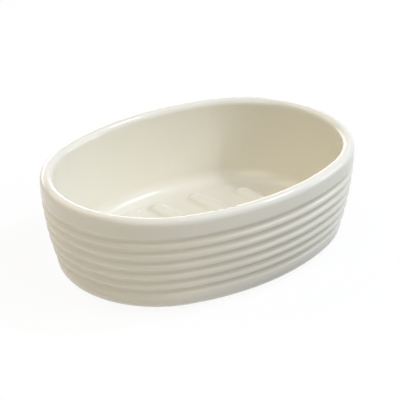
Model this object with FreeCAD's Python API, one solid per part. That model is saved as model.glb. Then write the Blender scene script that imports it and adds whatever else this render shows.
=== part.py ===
"""Oval glazed ceramic soap dish with a plain rim band, a ribbed wall and raised drain bars.

Millimetres, +Z up. X runs along the dish, Y across it. The origin is the centre of the
footprint on the surface that the dish stands on.
"""

import FreeCAD, Part
import math
import os

V = FreeCAD.Vector

# Overall form. The plan is an oval of four tangent arcs, two sides and two ends.
LENGTH = 130.0
WIDTH = 97.5
HEIGHT = 41.0
SIDE_RADIUS = 100.0
BELLY_RADIUS = 105.0
WALL = 5.0

# Outer wall, from the rim down: a plain band, beads in a steady pitch, a plain foot band.
RIM_BAND = 8.9
BEAD_PITCH = 4.4
GROOVE_DEPTH = 0.8
GROOVE_RADIUS = 1.6
FOOT_CORNER_RADIUS = 7.2

# Floor and the underside.
FLOOR = 5.0
WELL_CORNER_RADIUS = 7.0
FOOT_RING_WIDTH = 4.0
RECESS_DEPTH = 1.0
RECESS_SLOPE = 0.6
PANEL_MARGIN = 1.0

# Drain bars, moulded across the floor: low swells with a flat crest and soft flanks.
BAR_PITCH = 18.0
BAR_HEIGHT = 1.3
BAR_CREST_WIDTH = 2.5
BAR_FLANK_WIDTH = 4.5
BAR_END_GAP = 0.4
LEAST_CREST_LENGTH = 8.0

# Stick-on anti-slip pads in the recess of the underside.
PAD_DIAMETER = 9.0
PAD_THICKNESS = 1.5
PAD_EDGE_ROUND = 0.4
PAD_EDGE_GAP = 2.0
PAD_BEARING = 45.0

# The oval: half axes, the two radii that meet in one tangent, and where they meet.
HALF_LENGTH = LENGTH / 2
HALF_WIDTH = WIDTH / 2
END_RADIUS = (2 * SIDE_RADIUS * HALF_WIDTH - HALF_LENGTH**2 - HALF_WIDTH**2) / (
    2 * (SIDE_RADIUS - HALF_LENGTH)
)
END_CENTRE = HALF_LENGTH - END_RADIUS
SIDE_CENTRE = SIDE_RADIUS - HALF_WIDTH
MEETING_ANGLE = math.atan2(SIDE_CENTRE, END_CENTRE)

# Levels. The clay foot stands off the surface by what the pads stick out.
FOOT_Z = PAD_THICKNESS - RECESS_DEPTH
CEILING_Z = FOOT_Z + RECESS_DEPTH
FLOOR_Z = CEILING_Z + FLOOR
RIM_ROUND = WALL / 2
BELLY_Z = HEIGHT - RIM_ROUND

# Beads and grooves are arcs that run into each other. This is the distance of their centres.
BEAD_TO_GROOVE = (BEAD_PITCH**2 / 4 + GROOVE_DEPTH**2) / (2 * GROOVE_DEPTH)
BEAD_RADIUS = BEAD_TO_GROOVE - GROOVE_RADIUS
LEAST_FOOT_BAND = FOOT_CORNER_RADIUS + BEAD_PITCH / 2
BEAD_COUNT = int((HEIGHT - FOOT_Z - RIM_BAND - LEAST_FOOT_BAND) / BEAD_PITCH)

# A bar's flank is two like arcs, one out of the crest and one into the floor.
BAR_REACH = BAR_CREST_WIDTH / 2 + BAR_FLANK_WIDTH
FLANK_RADIUS = (BAR_FLANK_WIDTH**2 + BAR_HEIGHT**2) / (4 * BAR_HEIGHT)


def oval_sectors():
    """The four arcs of the plan as (centre, radius, start angle, sweep), in radians."""
    end_sweep = 2 * MEETING_ANGLE
    side_sweep = math.pi - end_sweep
    return [
        (V(END_CENTRE, 0, 0), END_RADIUS, -MEETING_ANGLE, end_sweep),
        (V(0, -SIDE_CENTRE, 0), SIDE_RADIUS, MEETING_ANGLE, side_sweep),
        (V(-END_CENTRE, 0, 0), END_RADIUS, math.pi - MEETING_ANGLE, end_sweep),
        (V(0, SIDE_CENTRE, 0), SIDE_RADIUS, math.pi + MEETING_ANGLE, side_sweep),
    ]


def oval_face(inset, z):
    """A flat face of the plan, drawn in by inset, at height z."""
    edges = []
    for centre, radius, start, sweep in oval_sectors():
        circle = Part.Circle(centre + V(0, 0, z), V(0, 0, 1), radius - inset)
        edges.append(Part.Arc(circle, start, start + sweep).toShape())
    return Part.Face(Part.Wire(edges))


def half_width_at(x, inset):
    """Half the width of the plan, drawn in by inset, at a place along the dish."""
    side = SIDE_RADIUS - inset
    if abs(x) < side * math.cos(MEETING_ANGLE):
        return math.sqrt(side**2 - x**2) - SIDE_CENTRE
    end = END_RADIUS - inset
    return math.sqrt(max(end**2 - (abs(x) - END_CENTRE) ** 2, 0.0))


def belly_inset(z):
    """How far the wall has drawn in at height z: it is upright at the rim and curves in below."""
    return BELLY_RADIUS - math.sqrt(BELLY_RADIUS**2 - (BELLY_Z - z) ** 2)


def apart(point, towards, distance):
    """The point at a distance from one point in the direction of another."""
    return point + (towards - point).normalize() * distance


def line(first, last):
    return Part.LineSegment(first, last).toShape()


def arc(centre, first, last):
    """The shorter arc about a centre from one point to another."""
    middle = apart(centre, (first + last) / 2, (first - centre).Length)
    return Part.Arc(first, middle, last).toShape()


# A point of the wall's section is V(-inset, 0, z), with the inset measured in from the plan.
def at(inset, z):
    return V(-inset, 0, z)


def bead_centres():
    """Centres of the bead arcs, and of the like arcs that end the two plain bands."""
    first_z = HEIGHT - RIM_BAND + BEAD_PITCH / 2
    centres = [at(BEAD_RADIUS, first_z)]
    for step in range(1, BEAD_COUNT + 2):
        z = first_z - step * BEAD_PITCH
        centres.append(at(belly_inset(z) + BEAD_RADIUS, z))
    return centres


def groove_centre(upper, lower):
    """Centre of the groove arc that touches the beads above and below it, on the outside."""
    half = (lower - upper) / 2
    outwards = V(-half.z, 0, half.x).normalize()
    return upper + half + outwards * math.sqrt(BEAD_TO_GROOVE**2 - half.Length**2)


def outer_edges():
    """The outside of the wall from the rim down to the foot ring, and the foot ring's inset."""
    beads = bead_centres()
    here = at(0, beads[0].z)
    edges = [line(at(0, BELLY_Z), here)]
    for upper, lower in zip(beads, beads[1:]):
        groove = groove_centre(upper, lower)
        groove_top = apart(upper, groove, BEAD_RADIUS)
        groove_foot = apart(lower, groove, BEAD_RADIUS)
        edges.append(arc(upper, here, groove_top))
        edges.append(arc(groove, groove_top, groove_foot))
        here = groove_foot
    band_top = beads[-1] + V(BEAD_RADIUS, 0, 0)
    corner = V(band_top.x - FOOT_CORNER_RADIUS, 0, FOOT_Z + FOOT_CORNER_RADIUS)
    corner_top = corner + V(FOOT_CORNER_RADIUS, 0, 0)
    corner_foot = corner - V(0, 0, FOOT_CORNER_RADIUS)
    edges.append(arc(beads[-1], here, band_top))
    edges.append(line(band_top, corner_top))
    edges.append(arc(corner, corner_top, corner_foot))
    return edges, -corner_foot.x


def well_corner():
    """Centre of the arc between the floor and the inside of the wall, and where the wall starts."""
    belly = at(BELLY_RADIUS, BELLY_Z)
    inside = BELLY_RADIUS - WALL
    rise = BELLY_Z - FLOOR_Z - WELL_CORNER_RADIUS
    inset = BELLY_RADIUS - math.sqrt((inside - WELL_CORNER_RADIUS) ** 2 - rise**2)
    centre = at(inset, FLOOR_Z + WELL_CORNER_RADIUS)
    return centre, apart(belly, centre, inside)


OUTER_EDGES, FOOT_INSET = outer_edges()
WELL_CENTRE, WELL_TOP = well_corner()
FLOOR_INSET = -WELL_CENTRE.x
RECESS_INSET = FOOT_INSET + FOOT_RING_WIDTH
CEILING_INSET = RECESS_INSET + RECESS_SLOPE
PANEL_INSET = max(CEILING_INSET, FLOOR_INSET) + PANEL_MARGIN


def inner_edges():
    """The inside of the wall, from the floor panel up and over the full round of the rim."""
    belly = at(BELLY_RADIUS, BELLY_Z)
    floor_end = at(FLOOR_INSET, FLOOR_Z)
    rim_inside = at(WALL, BELLY_Z)
    rim_top = at(RIM_ROUND, HEIGHT)
    rim_centre = at(RIM_ROUND, BELLY_Z)
    return [
        line(at(PANEL_INSET, FLOOR_Z), floor_end),
        arc(WELL_CENTRE, floor_end, WELL_TOP),
        arc(belly, WELL_TOP, rim_inside),
        arc(rim_centre, rim_inside, rim_top),
        arc(rim_centre, rim_top, at(0, BELLY_Z)),
    ]


def foot_edges():
    """The foot ring and the recess, from the foot corner in to the floor panel."""
    ring_end = at(RECESS_INSET, FOOT_Z)
    ceiling = at(CEILING_INSET, CEILING_Z)
    panel = at(PANEL_INSET, CEILING_Z)
    return [
        line(at(FOOT_INSET, FOOT_Z), ring_end),
        line(ring_end, ceiling),
        line(ceiling, panel),
        line(panel, at(PANEL_INSET, FLOOR_Z)),
    ]


def wall_ring():
    """The wall and the edge of the floor: one section turned about the centre of each arc."""
    section = Part.Wire(OUTER_EDGES + foot_edges() + inner_edges())
    sectors = []
    for centre, radius, start, sweep in oval_sectors():
        face = Part.Face(section)
        face.translate(V(radius, 0, 0))
        face.rotate(V(0, 0, 0), V(0, 0, 1), math.degrees(start))
        sector = face.revolve(V(0, 0, 0), V(0, 0, 1), math.degrees(sweep))
        sector.translate(centre)
        sectors.append(sector)
    return sectors[0].multiFuse(sectors[1:])


def bar_places():
    """Each drain bar as (place along the dish, half its crest), while the floor is wide enough."""
    gap = FLOOR_INSET + BAR_END_GAP + BAR_REACH
    places = []
    x = 0.0
    half = half_width_at(x, gap)
    while 2 * half > LEAST_CREST_LENGTH:
        places.append((x, half))
        if x > 0:
            places.append((-x, half))
        x += BAR_PITCH
        half = half_width_at(x, gap)
    return places


def half_bar_face():
    """Half of a bar's section, from its middle out, with a root that sinks into the floor."""
    root_z = FLOOR_Z - FLOOR / 2
    crest = V(0, 0, FLOOR_Z + BAR_HEIGHT)
    shoulder = crest + V(BAR_CREST_WIDTH / 2, 0, 0)
    foot = V(BAR_REACH, 0, FLOOR_Z)
    middle = (shoulder + foot) / 2
    edges = [
        line(V(0, 0, root_z), crest),
        line(crest, shoulder),
        arc(shoulder - V(0, 0, FLANK_RADIUS), shoulder, middle),
        arc(foot + V(0, 0, FLANK_RADIUS), middle, foot),
        line(foot, V(BAR_REACH, 0, root_z)),
        line(V(BAR_REACH, 0, root_z), V(0, 0, root_z)),
    ]
    return Part.Face(Part.Wire(edges))


def drain_bar(x, half):
    """One bar: its half section drawn along the crest, and turned about the crest's end."""
    upright = V(0, 0, 1)
    run_face = half_bar_face()
    run_face.translate(V(0, -half, 0))
    run = run_face.extrude(V(0, 2 * half, 0))
    end = half_bar_face().revolve(V(0, 0, 0), upright, 180)
    end.translate(V(0, half, 0))
    turned = [piece.copy() for piece in (run, end)]
    for piece in turned:
        piece.rotate(V(0, 0, 0), upright, 180)
    bar = run.multiFuse([end] + turned)
    bar.translate(V(x, 0, 0))
    return bar


def dish_body():
    """The one clay casting: wall, floor and drain bars."""
    panel = oval_face(PANEL_INSET, CEILING_Z).extrude(V(0, 0, FLOOR))
    bars = [drain_bar(x, half) for x, half in bar_places()]
    return wall_ring().multiFuse([panel] + bars).removeSplitter().Solids[0]


def pad_places():
    """Centres of the four pads, beside the foot ring, as (name, x, y)."""
    reach = END_RADIUS - CEILING_INSET - PAD_EDGE_GAP - PAD_DIAMETER / 2
    x = END_CENTRE + reach * math.cos(math.radians(PAD_BEARING))
    y = reach * math.sin(math.radians(PAD_BEARING))
    return [
        ("front_left", -x, -y),
        ("front_right", x, -y),
        ("back_left", -x, y),
        ("back_right", x, y),
    ]


def anti_slip_pad(x, y):
    """A soft disc with its lower edge rounded, stuck to the ceiling of the recess."""
    pad = Part.makeCylinder(PAD_DIAMETER / 2, PAD_THICKNESS, V(x, y, 0))
    lower = [edge for edge in pad.Edges if edge.BoundBox.ZMax < PAD_THICKNESS / 2]
    return pad.makeFillet(PAD_EDGE_ROUND, lower).Solids[0]


def main():
    os.makedirs("parts", exist_ok=True)
    pieces = {"dish_body": dish_body()}
    for name, x, y in pad_places():
        pieces["anti_slip_pad_" + name] = anti_slip_pad(x, y)
    for name, shape in pieces.items():
        shape.exportStep(os.path.join("parts", name + ".step"))
        print(name, "valid", shape.isValid(), "volume", round(shape.Volume, 1))


main()
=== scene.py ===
"""An oval soap dish of glossy ivory glazed ceramic, with soft pads under its foot, on a white sweep."""

import math

import bmesh
import bpy
from mathutils import Matrix, Vector


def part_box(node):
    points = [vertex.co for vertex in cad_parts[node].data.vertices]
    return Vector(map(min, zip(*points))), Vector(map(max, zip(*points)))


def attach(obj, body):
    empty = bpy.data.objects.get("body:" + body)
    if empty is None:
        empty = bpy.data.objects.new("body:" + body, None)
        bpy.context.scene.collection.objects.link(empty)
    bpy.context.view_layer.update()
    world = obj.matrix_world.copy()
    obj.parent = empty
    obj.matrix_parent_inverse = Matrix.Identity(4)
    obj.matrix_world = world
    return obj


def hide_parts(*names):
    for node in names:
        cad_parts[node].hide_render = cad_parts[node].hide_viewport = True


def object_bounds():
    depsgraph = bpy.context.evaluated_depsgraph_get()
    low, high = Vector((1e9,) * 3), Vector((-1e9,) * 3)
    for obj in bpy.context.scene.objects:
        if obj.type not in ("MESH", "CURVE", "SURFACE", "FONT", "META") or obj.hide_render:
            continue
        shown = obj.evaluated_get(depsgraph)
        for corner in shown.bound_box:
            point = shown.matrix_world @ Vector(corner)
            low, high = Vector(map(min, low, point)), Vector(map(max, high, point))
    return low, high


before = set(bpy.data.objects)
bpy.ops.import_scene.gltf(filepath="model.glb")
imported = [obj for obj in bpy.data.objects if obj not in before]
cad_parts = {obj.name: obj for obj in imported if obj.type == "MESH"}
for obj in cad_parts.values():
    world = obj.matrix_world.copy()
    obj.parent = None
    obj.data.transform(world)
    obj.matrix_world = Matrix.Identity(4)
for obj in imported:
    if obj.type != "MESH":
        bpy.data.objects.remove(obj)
cad_low, cad_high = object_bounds()
bpy.ops.object.select_all(action="DESELECT")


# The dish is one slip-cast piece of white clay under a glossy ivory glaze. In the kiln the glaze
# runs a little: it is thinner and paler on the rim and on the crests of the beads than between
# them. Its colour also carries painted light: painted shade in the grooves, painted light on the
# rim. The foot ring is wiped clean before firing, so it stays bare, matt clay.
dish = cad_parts["dish_body"]
dish_low, dish_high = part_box("dish_body")

MM = 0.001
FIRST_GROOVE_DROP = 8.98 * MM
GROOVE_PITCH = 4.435 * MM
GROOVE_COUNT = 6
GROOVE_POOL_AND_SHADE_REACH = 1.4 * MM
OUTSIDE_REACH = 10.0 * MM
THIN_LIT_RIM_DROP = 4.5 * MM
GLAZE_EDGE_TOP = 0.12 * MM
GLAZE_EDGE_BOTTOM = 0.04 * MM

IVORY = (0.80, 0.77, 0.665, 1.0)
# Colour of thick glaze, also used as painted shade in the grooves.
THICK_IVORY_AND_SHADE = (0.73, 0.68, 0.54, 1.0)
# Colour of thin glaze, also used as painted light on the rim.
PALE_LIT_IVORY = (0.84, 0.825, 0.765, 1.0)
BARE_CLAY = (0.70, 0.66, 0.58, 1.0)
GROOVE_POOL_AND_SHADE_SHARE = 0.70
CLOUDED_SHARE = 0.10
GRAINED_SHARE = 0.04
THIN_LIT_RIM_SHARE = 0.4

GLAZE_CLOUDS_PER_METRE = 38.0
GLAZE_GRAINS_PER_METRE = 420.0
GLAZE_IOR = 1.5
GLAZE_ROUGHNESS = 0.13
CLOUDED_ROUGHNESS = 0.04
BARE_ROUGHNESS = 0.6
GLAZE_BUMP = 0.03 * MM
GRAIN_BUMP_SHARE = 0.12

CLOUD_DETAIL = 3.0
GRAIN_DETAIL = 1.0
NOISE_LOW = 0.3
NOISE_HIGH = 0.7

# A Mix node lists the sockets of every data type together. These are its colour sockets.
MIX_SHARE_INPUT = 0
MIX_FIRST_INPUT = 6
MIX_SECOND_INPUT = 7
MIX_OUTPUT = 2


def feed(tree, socket, value):
    """Joins an output to an input socket, or sets the socket to a plain value."""
    if isinstance(value, bpy.types.NodeSocket):
        tree.links.new(value, socket)
    else:
        socket.default_value = value


def math_node(tree, operation, first, second=0.0, third=0.0):
    """A Math node on sockets or plain numbers, as its output socket."""
    node = tree.nodes.new("ShaderNodeMath")
    node.operation = operation
    for socket, value in zip(node.inputs, (first, second, third)):
        feed(tree, socket, value)
    return node.outputs["Value"]


def dot_product(tree, first, second):
    """The dot product of two vectors, each a socket or a plain tuple, as its output socket."""
    node = tree.nodes.new("ShaderNodeVectorMath")
    node.operation = "DOT_PRODUCT"
    for socket, value in zip(node.inputs, (first, second)):
        feed(tree, socket, value)
    return node.outputs["Value"]


def smooth_step(tree, value, start, end):
    """A smooth step of a socket: 0 at start, 1 at end."""
    node = tree.nodes.new("ShaderNodeMapRange")
    node.interpolation_type = "SMOOTHSTEP"
    node.inputs["From Min"].default_value = start
    node.inputs["From Max"].default_value = end
    tree.links.new(value, node.inputs["Value"])
    return node.outputs["Result"]


def mix_colours(tree, share, first, second):
    """One colour turning into another as the share goes from 0 to 1."""
    node = tree.nodes.new("ShaderNodeMix")
    node.data_type = "RGBA"
    feed(tree, node.inputs[MIX_SHARE_INPUT], share)
    feed(tree, node.inputs[MIX_FIRST_INPUT], first)
    feed(tree, node.inputs[MIX_SECOND_INPUT], second)
    return node.outputs[MIX_OUTPUT]


def empty_material(name):
    """A new material with a Principled shader joined to its output, as the material, tree and shader."""
    material = bpy.data.materials.new(name)
    material.use_nodes = True
    tree = material.node_tree
    tree.nodes.clear()
    shader = tree.nodes.new("ShaderNodeBsdfPrincipled")
    output = tree.nodes.new("ShaderNodeOutputMaterial")
    tree.links.new(shader.outputs["BSDF"], output.inputs["Surface"])
    return material, tree, shader


def uneven_surface_group():
    """A node group: slow clouds and a fine grain over a surface, each from 0 to 1."""
    group = bpy.data.node_groups.new("uneven_surface", "ShaderNodeTree")
    face = group.interface
    face.new_socket("Place", in_out="INPUT", socket_type="NodeSocketVector")
    face.new_socket("Clouds per metre", in_out="INPUT", socket_type="NodeSocketFloat")
    face.new_socket("Grains per metre", in_out="INPUT", socket_type="NodeSocketFloat")
    face.new_socket("Clouds", in_out="OUTPUT", socket_type="NodeSocketFloat")
    face.new_socket("Grain", in_out="OUTPUT", socket_type="NodeSocketFloat")
    given = group.nodes.new("NodeGroupInput")
    result = group.nodes.new("NodeGroupOutput")
    patterns = (("Clouds per metre", CLOUD_DETAIL, "Clouds"), ("Grains per metre", GRAIN_DETAIL, "Grain"))
    for scale, detail, output in patterns:
        noise = group.nodes.new("ShaderNodeTexNoise")
        noise.inputs["Detail"].default_value = detail
        group.links.new(given.outputs["Place"], noise.inputs["Vector"])
        group.links.new(given.outputs[scale], noise.inputs["Scale"])
        spread = smooth_step(group, noise.outputs["Fac"], NOISE_LOW, NOISE_HIGH)
        group.links.new(spread, result.inputs[output])
    return group


def place_uneven_surface(tree, group, clouds_per_metre, grains_per_metre):
    """The group in a material on Object coordinates, as the clouds and the grain."""
    node = tree.nodes.new("ShaderNodeGroup")
    node.node_tree = group
    node.inputs["Clouds per metre"].default_value = clouds_per_metre
    node.inputs["Grains per metre"].default_value = grains_per_metre
    place = tree.nodes.new("ShaderNodeTexCoord")
    tree.links.new(place.outputs["Object"], node.inputs["Place"])
    return node.outputs["Clouds"], node.outputs["Grain"]


def bump_normal(tree, shader, height, distance):
    """Joins a height from 0 to 1, as high as the distance, to the shader's normal."""
    node = tree.nodes.new("ShaderNodeBump")
    node.inputs["Distance"].default_value = distance
    tree.links.new(height, node.inputs["Height"])
    tree.links.new(node.outputs["Normal"], shader.inputs["Normal"])


uneven_surface = uneven_surface_group()
glaze, glaze_tree, glaze_shader = empty_material("ivory_glaze")
clouds, grain = place_uneven_surface(
    glaze_tree, uneven_surface, GLAZE_CLOUDS_PER_METRE, GLAZE_GRAINS_PER_METRE
)
dish_place = glaze_tree.nodes.new("ShaderNodeTexCoord").outputs["Object"]
dish_axes = glaze_tree.nodes.new("ShaderNodeSeparateXYZ")
glaze_tree.links.new(dish_place, dish_axes.inputs["Vector"])
height = dish_axes.outputs["Z"]

# Distance in height to the nearest groove, within the beaded part of the wall.
below_first = math_node(glaze_tree, "SUBTRACT", dish_high.z - FIRST_GROOVE_DROP, height)
groove_number = math_node(glaze_tree, "ROUND", math_node(glaze_tree, "DIVIDE", below_first, GROOVE_PITCH))
groove_number = math_node(glaze_tree, "MAXIMUM", groove_number, 0.0)
groove_number = math_node(glaze_tree, "MINIMUM", groove_number, GROOVE_COUNT - 1)
groove_drop = math_node(glaze_tree, "MULTIPLY", groove_number, GROOVE_PITCH)
from_groove = math_node(glaze_tree, "ABSOLUTE", math_node(glaze_tree, "SUBTRACT", below_first, groove_drop))
in_groove = smooth_step(glaze_tree, from_groove, GROOVE_POOL_AND_SHADE_REACH, 0.0)

# The grooves are on the outside only, where the surface faces away from the dish's middle.
geometry = glaze_tree.nodes.new("ShaderNodeNewGeometry")
outwards = dot_product(glaze_tree, geometry.outputs["Normal"], dish_place)
is_outside = smooth_step(glaze_tree, outwards, 0.0, OUTSIDE_REACH)
# The grooves are darker for the glaze pooled in them and also as painted shade.
pooled_glaze_and_shade = math_node(glaze_tree, "MULTIPLY", in_groove, is_outside)

# The thickness of the glaze sets its colour: pooled and clouded places are warmer, the rim is paler.
# The grooves are darker also as painted shade, and the rim is paler also as painted light.
thickness = math_node(glaze_tree, "MULTIPLY", pooled_glaze_and_shade, GROOVE_POOL_AND_SHADE_SHARE)
thickness = math_node(glaze_tree, "MULTIPLY_ADD", clouds, CLOUDED_SHARE, thickness)
thickness = math_node(glaze_tree, "MULTIPLY_ADD", grain, GRAINED_SHARE, thickness)
# The rim top is paler for its thin glaze and also as painted light.
on_rim = smooth_step(glaze_tree, height, dish_high.z - THIN_LIT_RIM_DROP, dish_high.z)
thin_and_lit = math_node(glaze_tree, "MULTIPLY", on_rim, THIN_LIT_RIM_SHARE)
glazed = mix_colours(glaze_tree, thickness, IVORY, THICK_IVORY_AND_SHADE)
glazed = mix_colours(glaze_tree, thin_and_lit, glazed, PALE_LIT_IVORY)
bare = smooth_step(glaze_tree, height, dish_low.z + GLAZE_EDGE_TOP, dish_low.z + GLAZE_EDGE_BOTTOM)
dish_colour = mix_colours(glaze_tree, bare, glazed, BARE_CLAY)
glaze_tree.links.new(dish_colour, glaze_shader.inputs["Base Color"])

roughness = math_node(glaze_tree, "MULTIPLY_ADD", clouds, CLOUDED_ROUGHNESS, GLAZE_ROUGHNESS)
roughness = math_node(glaze_tree, "MULTIPLY_ADD", bare, BARE_ROUGHNESS, roughness)
glaze_tree.links.new(roughness, glaze_shader.inputs["Roughness"])
glaze_shader.inputs["IOR"].default_value = GLAZE_IOR
ripple = math_node(glaze_tree, "MULTIPLY_ADD", grain, GRAIN_BUMP_SHARE, clouds)
bump_normal(glaze_tree, glaze_shader, ripple, GLAZE_BUMP)
dish.data.materials.clear()
dish.data.materials.append(glaze)


# Four round pads of soft, milky silicone keep the dish from sliding. Each is moulded with a softly
# rounded lower edge and a shallow cup underneath, and is glued into the recess inside the foot ring.
PAD_SIDES = 64
PAD_DRAFT = 0.97
PAD_LOWER_ROUND = 0.40 * MM
PAD_LOWER_ROUND_STEPS = 5
PAD_UPPER_ROUND = 0.08 * MM
PAD_UPPER_ROUND_STEPS = 2
PAD_CUP_MARGIN = 1.2 * MM
PAD_CUP_SLOPE = 0.5 * MM
PAD_CUP_DEPTH = 0.15 * MM
PAD_SMOOTH_ANGLE = math.radians(35.0)
LEVEL_TOLERANCE = 0.001 * MM
UNDERSIDE_NORMAL_Z = -0.99

MILKY_SILICONE = (0.72, 0.71, 0.68, 1.0)
DUSTY_SILICONE = (0.60, 0.58, 0.54, 1.0)
SILICONE_CLOUDS_PER_METRE = 160.0
SILICONE_GRAINS_PER_METRE = 2600.0
CLOUD_DUST_SHARE = 0.35
GRAIN_DUST_SHARE = 0.15
SILICONE_ROUGHNESS = 0.42
DUST_ROUGHNESS = 0.25
SILICONE_IOR = 1.41
SUBSURFACE_WEIGHT = 0.3
SUBSURFACE_RADIUS = (1.2 * MM, 1.1 * MM, 0.9 * MM)
SILICONE_BUMP = 0.008 * MM

pad_nodes = sorted(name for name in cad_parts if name.startswith("anti_slip_pad"))
first_pad_low, first_pad_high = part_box(pad_nodes[0])
pad_radius = (first_pad_high.x - first_pad_low.x) / 2
pad_thickness = first_pad_high.z - first_pad_low.z


def select_faces(piece, wanted):
    """Selects, in edit mode, just the faces that pass a test."""
    bpy.ops.mesh.select_all(action="DESELECT")
    bpy.ops.mesh.select_mode(type="FACE")
    shape = bmesh.from_edit_mesh(piece.data)
    for face in shape.faces:
        face.select_set(wanted(face))
    bmesh.update_edit_mesh(piece.data)


def select_level_edges(piece, level):
    """Selects, in edit mode, just the edges that lie at one height."""
    bpy.ops.mesh.select_all(action="DESELECT")
    bpy.ops.mesh.select_mode(type="EDGE")
    shape = bmesh.from_edit_mesh(piece.data)
    for edge in shape.edges:
        edge.select_set(all(abs(corner.co.z - level) < LEVEL_TOLERANCE for corner in edge.verts))
    bmesh.update_edit_mesh(piece.data)


def is_underside(face):
    """Whether a face looks straight down."""
    return face.normal.z < UNDERSIDE_NORMAL_Z


bpy.ops.mesh.primitive_cylinder_add(
    vertices=PAD_SIDES, radius=pad_radius, depth=pad_thickness, location=(0.0, 0.0, pad_thickness / 2)
)
pad = bpy.context.object
bpy.ops.object.transform_apply(location=True, rotation=True, scale=True)
bpy.ops.object.mode_set(mode="EDIT")
select_faces(pad, is_underside)
bpy.ops.transform.resize(value=(PAD_DRAFT, PAD_DRAFT, 1.0))
select_level_edges(pad, 0.0)
bpy.ops.mesh.bevel(offset=PAD_LOWER_ROUND, segments=PAD_LOWER_ROUND_STEPS, affect="EDGES")
select_level_edges(pad, pad_thickness)
bpy.ops.mesh.bevel(offset=PAD_UPPER_ROUND, segments=PAD_UPPER_ROUND_STEPS, affect="EDGES")
select_faces(pad, is_underside)
bpy.ops.mesh.inset(thickness=PAD_CUP_MARGIN)
bpy.ops.mesh.inset(thickness=PAD_CUP_SLOPE)
bpy.ops.transform.translate(value=(0.0, 0.0, PAD_CUP_DEPTH))
bpy.ops.mesh.select_all(action="SELECT")
bpy.ops.mesh.normals_make_consistent(inside=False)
bpy.ops.object.mode_set(mode="OBJECT")
bpy.ops.object.shade_smooth_by_angle(angle=PAD_SMOOTH_ANGLE)

silicone, silicone_tree, silicone_shader = empty_material("milky_silicone")
clouds, grain = place_uneven_surface(
    silicone_tree, uneven_surface, SILICONE_CLOUDS_PER_METRE, SILICONE_GRAINS_PER_METRE
)
dust = math_node(silicone_tree, "MULTIPLY", grain, GRAIN_DUST_SHARE)
dust = math_node(silicone_tree, "MULTIPLY_ADD", clouds, CLOUD_DUST_SHARE, dust)
pad_colour = mix_colours(silicone_tree, dust, MILKY_SILICONE, DUSTY_SILICONE)
silicone_tree.links.new(pad_colour, silicone_shader.inputs["Base Color"])
roughness = math_node(silicone_tree, "MULTIPLY_ADD", dust, DUST_ROUGHNESS, SILICONE_ROUGHNESS)
silicone_tree.links.new(roughness, silicone_shader.inputs["Roughness"])
silicone_shader.inputs["IOR"].default_value = SILICONE_IOR
silicone_shader.inputs["Subsurface Weight"].default_value = SUBSURFACE_WEIGHT
silicone_shader.inputs["Subsurface Radius"].default_value = SUBSURFACE_RADIUS
bump_normal(silicone_tree, silicone_shader, grain, SILICONE_BUMP)
pad.data.materials.append(silicone)

for node in pad_nodes:
    pad_low, pad_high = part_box(node)
    piece = pad.copy()
    piece.data = pad.data.copy()
    piece.name = node + "_silicone"
    bpy.context.scene.collection.objects.link(piece)
    pad_middle = (pad_low + pad_high) / 2
    piece.data.transform(Matrix.Translation((pad_middle.x, pad_middle.y, pad_low.z)))
    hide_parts(node)
    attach(piece, "root")
bpy.data.objects.remove(pad)


# The floor is a matt paper sweep. To the camera it is nearly pure white, with a faint soft shadow
# under the dish. The paper throws light up at the wall on the left, as a white card laid there does,
# and little on the right, as if over a grey cloth.
SWEEP_SIZE = 6.0
WHITE = (1.0, 1.0, 1.0, 1.0)
WHITE_STRENGTH = 1.0
PAPER_WHITE_SHARE = 0.92
CARD_BOUNCE = (0.86, 0.85, 0.84, 1.0)
CLOTH_BOUNCE = (0.22, 0.22, 0.22, 1.0)
CARD_AZIMUTH = math.radians(260.0)
CARD_FADE_START = -0.65
CARD_FADE_END = 1.0


def direction(azimuth, elevation):
    """The unit vector towards a place round the dish, with both angles in radians."""
    level = math.cos(elevation)
    return Vector((math.sin(azimuth) * level, -math.cos(azimuth) * level, math.sin(elevation)))


def seen_by_camera(tree):
    """1 for rays from the camera, straight, in a mirror or through glass, and 0 for all others."""
    rays = tree.nodes.new("ShaderNodeLightPath")
    seen = math_node(tree, "MAXIMUM", rays.outputs["Is Camera Ray"], rays.outputs["Is Glossy Ray"])
    return math_node(tree, "MAXIMUM", seen, rays.outputs["Is Transmission Ray"])


def mix_shaders(tree, share, first, second):
    """One shader turning into another as the share goes from 0 to 1."""
    node = tree.nodes.new("ShaderNodeMixShader")
    for number, socket in enumerate((share, first, second)):
        tree.links.new(socket, node.inputs[number])
    return node.outputs["Shader"]


bpy.ops.mesh.primitive_plane_add(size=SWEEP_SIZE, location=(0.0, 0.0, 0.0))
sweep = bpy.context.object
sweep.name = "paper_sweep"
paper = bpy.data.materials.new("white_paper")
paper.use_nodes = True
paper_tree = paper.node_tree
paper_tree.nodes.clear()
seen = seen_by_camera(paper_tree)

# The bounce turns from cloth to card with the bearing from the middle of the dish.
paper_place = paper_tree.nodes.new("ShaderNodeTexCoord")
bearing = paper_tree.nodes.new("ShaderNodeVectorMath")
bearing.operation = "NORMALIZE"
paper_tree.links.new(paper_place.outputs["Object"], bearing.inputs[0])
card_side = dot_product(paper_tree, bearing.outputs["Vector"], tuple(direction(CARD_AZIMUTH, 0.0)))
on_card = smooth_step(paper_tree, card_side, CARD_FADE_START, CARD_FADE_END)
bounce = mix_colours(paper_tree, on_card, CLOTH_BOUNCE, CARD_BOUNCE)

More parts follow.
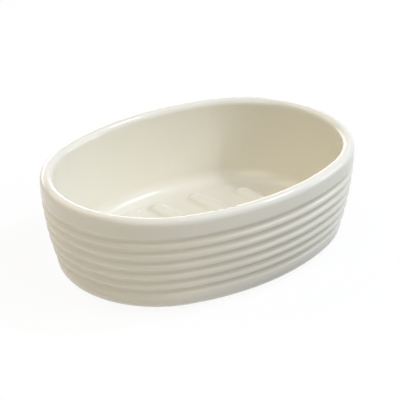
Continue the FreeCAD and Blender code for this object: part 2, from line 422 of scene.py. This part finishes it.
matt = paper_tree.nodes.new("ShaderNodeBsdfDiffuse")
paper_tree.links.new(mix_colours(paper_tree, seen, bounce, WHITE), matt.inputs["Color"])
white = paper_tree.nodes.new("ShaderNodeEmission")
white.inputs["Color"].default_value = WHITE
white.inputs["Strength"].default_value = WHITE_STRENGTH
white_share = math_node(paper_tree, "MULTIPLY", seen, PAPER_WHITE_SHARE)
paper_look = mix_shaders(paper_tree, white_share, matt.outputs["BSDF"], white.outputs["Emission"])
paper_out = paper_tree.nodes.new("ShaderNodeOutputMaterial")
paper_tree.links.new(paper_look, paper_out.inputs["Surface"])
sweep.data.materials.append(paper)


# Studio light in a white room, which shows white and adds little light. A small key lamp stands high
# beyond the dish's right end, so the wall of the well there is in shade, with soft boxes round it.
# Large warm panels behind and on the left, a cool one overhead and a low one behind fill the rest.
ROOM_STRENGTH = 0.09
LAMP_DISTANCE = 1.2


def background(tree, strength):
    """A white Background node of a given strength, as its output socket."""
    node = tree.nodes.new("ShaderNodeBackground")
    node.inputs["Color"].default_value = WHITE
    node.inputs["Strength"].default_value = strength
    return node.outputs["Background"]


def soft_lamp(name, azimuth, elevation, width, height, strength, colour, in_reflections=True):
    """An area lamp that faces the dish. Strength 1 makes a white card that faces it render as white."""
    light = bpy.data.lights.new(name, "AREA")
    light.shape = "ELLIPSE"
    light.size = width
    light.size_y = height
    light.energy = strength * (math.pi * LAMP_DISTANCE) ** 2
    light.color = colour
    lamp = bpy.data.objects.new(name, light)
    bpy.context.scene.collection.objects.link(lamp)
    towards = direction(math.radians(azimuth), math.radians(elevation))
    lamp.location = towards * LAMP_DISTANCE
    lamp.rotation_euler = towards.to_track_quat("Z", "Y").to_euler()
    lamp.visible_camera = False
    lamp.visible_glossy = in_reflections


world = bpy.data.worlds.new("white_room")
bpy.context.scene.world = world
world.use_nodes = True
room = world.node_tree
room.nodes.clear()
room_light = background(room, ROOM_STRENGTH)
room_white = background(room, WHITE_STRENGTH)
room_out = room.nodes.new("ShaderNodeOutputWorld")
room_look = mix_shaders(room, seen_by_camera(room), room_light, room_white)
room.links.new(room_look, room_out.inputs["Surface"])

soft_lamp(
    "key_lamp", azimuth=61.5, elevation=51.0, width=0.085, height=0.085,
    strength=0.22, colour=(0.88, 0.98, 1.20),
)
soft_lamp(
    "near_soft_box", azimuth=10.0, elevation=57.0, width=0.45, height=0.45,
    strength=0.15, colour=(0.98, 1.0, 1.02), in_reflections=False,
)
soft_lamp(
    "low_near_soft_box", azimuth=40.0, elevation=30.0, width=0.4, height=0.4,
    strength=0.285, colour=(0.92, 1.0, 1.10), in_reflections=False,
)
soft_lamp(
    "low_far_soft_box", azimuth=66.0, elevation=16.0, width=0.5, height=0.3,
    strength=0.09, colour=(1.03, 1.0, 0.97),
)
soft_lamp(
    "far_soft_box", azimuth=80.0, elevation=48.0, width=0.45, height=0.45,
    strength=0.045, colour=(0.96, 1.0, 1.06),
)
soft_lamp(
    "high_soft_box", azimuth=60.0, elevation=62.0, width=0.6, height=0.6,
    strength=0.055, colour=(0.88, 0.98, 1.18),
)
soft_lamp(
    "top_panel", azimuth=0.0, elevation=88.0, width=1.1, height=1.1,
    strength=0.07, colour=(0.82, 0.97, 1.30),
)
soft_lamp(
    "back_panel", azimuth=205.0, elevation=45.0, width=1.2, height=1.0,
    strength=0.312, colour=(1.15, 1.0, 0.77),
)
soft_lamp(
    "left_panel", azimuth=300.0, elevation=44.0, width=0.87, height=0.87,
    strength=0.2, colour=(1.13, 1.0, 0.76),
)
soft_lamp(
    "low_back_panel", azimuth=160.0, elevation=12.0, width=1.3, height=0.45,
    strength=0.24, colour=(1.0, 1.0, 1.0),
)


# The camera stands in front of the dish, to the left and a little above, with a long lens. Its place,
# roll and lens were fitted to the dish's outline in the photograph. The sensor and the lens are in mm.
CAMERA_AZIMUTH = math.radians(-38.217)
CAMERA_ELEVATION = math.radians(26.301)
CAMERA_ROLL = math.radians(-1.1425)
CAMERA_DISTANCE = 0.65126
CAMERA_NEAREST = 0.01
AIM_RIGHT = -0.000177
AIM_UP = 0.000358
SENSOR_WIDTH = 36.0
LENS_LENGTH = 149.98

back = direction(CAMERA_AZIMUTH, CAMERA_ELEVATION)
right = Vector((math.cos(CAMERA_AZIMUTH), math.sin(CAMERA_AZIMUTH), 0.0))
up = back.cross(right)
aim = Vector((0.0, 0.0, cad_high[2] / 2)) + right * AIM_RIGHT + up * AIM_UP
camera = bpy.data.cameras.new("camera")
camera.sensor_width = SENSOR_WIDTH
camera.lens = LENS_LENGTH
camera.clip_start = CAMERA_NEAREST
camera_object = bpy.data.objects.new("camera", camera)
bpy.context.scene.collection.objects.link(camera_object)
turn = Matrix((right, up, back)).transposed() @ Matrix.Rotation(CAMERA_ROLL, 3, "Z")
camera_object.matrix_world = Matrix.Translation(aim + back * CAMERA_DISTANCE) @ turn.to_4x4()
bpy.context.scene.camera = camera_object
bpy.context.scene.view_settings.view_transform = "Standard"
